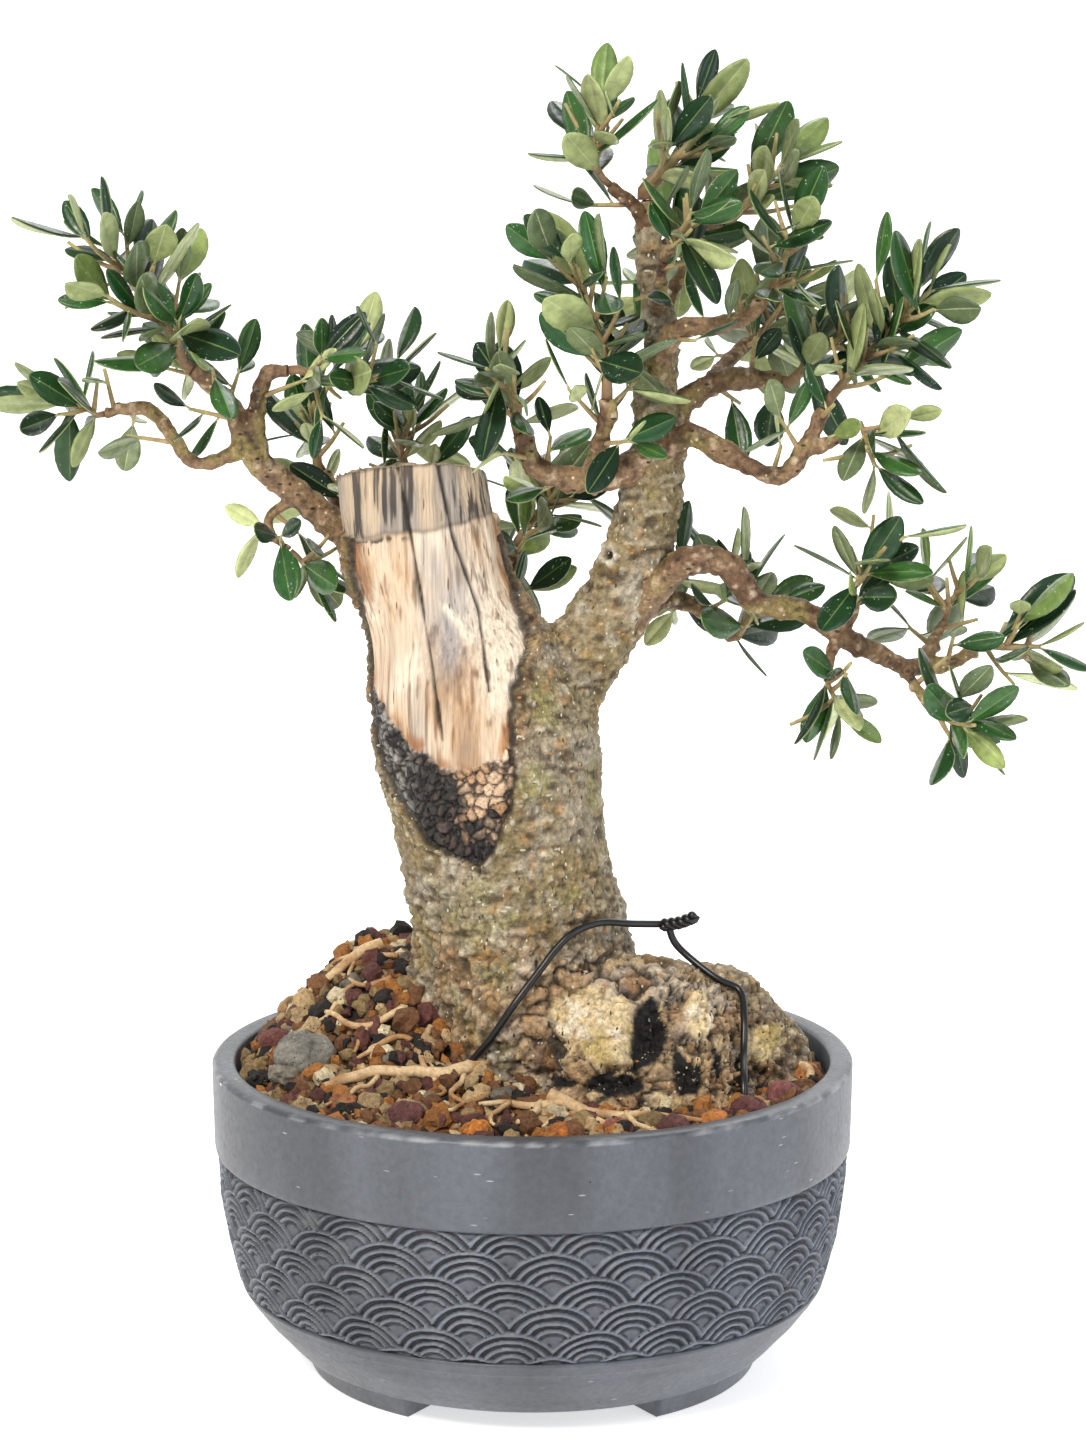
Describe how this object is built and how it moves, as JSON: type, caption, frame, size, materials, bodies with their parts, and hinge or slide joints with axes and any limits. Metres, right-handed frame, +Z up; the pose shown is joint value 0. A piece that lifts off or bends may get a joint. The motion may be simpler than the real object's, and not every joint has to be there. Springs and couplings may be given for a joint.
{
  "type": "olive bonsai tree in a round pot",
  "caption": "Olive bonsai: old sawn and hollowed trunk on a burled root, with a living leader and leafy boughs, in a round grey wave-patterned pot on feet.",
  "frame": {"origin": "bottom centre of the whole plant's box, on the surface that the pot's feet stand on", "axes": "+Z up; -Y towards the front, with the sawn stump on the left and the living leader on the right; +X to the right seen from the front"},
  "size_m": [0.3756, 0.22, 0.4488],
  "materials": {
    "olive_bark": "rough grey-brown bark with bare weathered deadwood",
    "young_bark": "dull brown young bark",
    "olive_leaf": "glossy dark green above, matt grey-green beneath",
    "grey_pot": "satin dark grey cast body with raised waves",
    "soil_grit": "loose brown, ochre and cream grit",
    "black_wire": "black anodised, half gloss"
  },
  "bodies": {
    "root": {"back_bough": "young_bark", "back_crown_bough": "young_bark", "back_left_bough": "young_bark", "back_loop": "young_bark", "back_right_bough": "young_bark", "back_right_bough_high": "young_bark", "crossing_bough": "young_bark", "crown_leader": "young_bark", "front_riser": "young_bark", "front_twig": "young_bark", "hooked_bough": "young_bark", "leaves_apex": "olive_leaf", "leaves_back_left": "olive_leaf", "leaves_behind_fork": "olive_leaf", "leaves_behind_leader": "olive_leaf", "leaves_behind_stump": "olive_leaf", "leaves_centre_left": "olive_leaf", "leaves_crossing": "olive_leaf", "leaves_crown_back": "olive_leaf", "leaves_crown_front": "olive_leaf", "leaves_front_centre": "olive_leaf", "leaves_left_inner": "olive_leaf", "leaves_left_low": "olive_leaf", "leaves_left_tip": "olive_leaf", "leaves_left_top": "olive_leaf", "leaves_low_right_inner": "olive_leaf", "leaves_low_right_mid": "olive_leaf", "leaves_low_right_tip": "olive_leaf", "leaves_low_right_under": "olive_leaf", "leaves_low_right_upper": "olive_leaf", "leaves_right_back": "olive_leaf", "leaves_right_lower": "olive_leaf", "leaves_right_outer": "olive_leaf", "leaves_right_upper": "olive_leaf", "leaves_top_left": "olive_leaf", "leaves_top_right": "olive_leaf", "left_bough": "young_bark", "left_hanging_twig": "young_bark", "left_inner_bough": "young_bark", "left_outer_twig": "young_bark", "left_top_bough": "young_bark", "live_leader": "young_bark", "low_right_bough": "young_bark", "low_right_hanger": "young_bark", "low_right_riser": "young_bark", "low_right_spur": "young_bark", "low_right_underspur": "young_bark", "pot": "grey_pot", "right_lower_bough": "young_bark", "right_spur": "young_bark", "right_upper_bough": "young_bark", "soil": "soil_grit", "tie_wire": "black_wire", "top_left_twig": "young_bark", "top_right_bough": "young_bark", "trunk": "olive_bark"}
  },
  "joints": []
}
